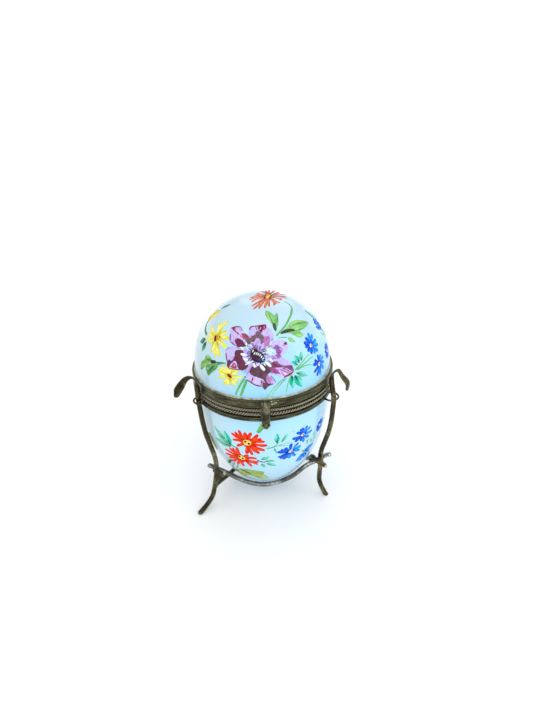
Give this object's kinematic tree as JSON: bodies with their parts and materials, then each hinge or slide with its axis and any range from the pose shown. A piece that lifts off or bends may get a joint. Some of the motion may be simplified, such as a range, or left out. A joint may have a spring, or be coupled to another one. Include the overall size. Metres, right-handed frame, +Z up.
{
  "type": "trinket box",
  "caption": "Egg-shaped porcelain box with a hinged domed lid and deep bowl, brass collar with clasp, held on bent wire legs with wires slung under the bowl.",
  "frame": {"origin": "on the floor plane under the feet, at the middle of the bounds in x and y", "axes": "+Z up along the egg's axis, -Y to the clasp (the front), +Y to the hinge, +X to the right seen from the front"},
  "size_m": [0.086, 0.098, 0.1152],
  "materials": {
    "porcelain": "opaque glazed porcelain, pale sky blue, painted with flowers",
    "cement": "dull cream cement with worn gilding",
    "collar_brass": "aged, dull, dark in the hollows",
    "wire_brass": "aged, dark olive brown, rubbed bright on edges"
  },
  "bodies": {
    "base": {"base_bowl": "porcelain", "base_cement": "cement", "base_ring": "collar_brass", "base_rope_trim": "collar_brass", "locating_collar": "collar_brass", "catch_stud": "collar_brass", "hinge_knuckle_base_left": "collar_brass", "hinge_knuckle_base_centre": "collar_brass", "hinge_knuckle_base_right": "collar_brass", "hinge_pin": "wire_brass", "eyelet_left": "wire_brass", "eyelet_right": "wire_brass", "eyelet_rear": "wire_brass", "leg_left": "wire_brass", "leg_right": "wire_brass", "leg_rear": "wire_brass", "bow_front": "wire_brass", "bow_rear_left": "wire_brass", "bow_rear_right": "wire_brass"},
    "lid": {"lid_dome": "porcelain", "lid_ring": "collar_brass", "lid_cement": "cement", "lid_rope_trim": "collar_brass", "clasp_lug": "collar_brass", "clasp_pin": "wire_brass", "hinge_knuckle_lid_left": "collar_brass", "hinge_knuckle_lid_right": "collar_brass"},
    "clasp": {"clasp_hasp": "collar_brass", "clasp_thumb": "collar_brass"}
  },
  "joints": [
    {"name": "lid_hinge", "type": "hinge", "parent": "base", "child": "lid", "pos_m": [0.00052, 0.02949, 0.07135], "axis": [-1, 0, 0], "range_deg": [0, 70]},
    {"name": "clasp_hinge", "type": "hinge", "parent": "lid", "child": "clasp", "pos_m": [0.00112, -0.04741, 0.0772], "axis": [-1, 0, 0], "range_deg": [0, 90]}
  ]
}
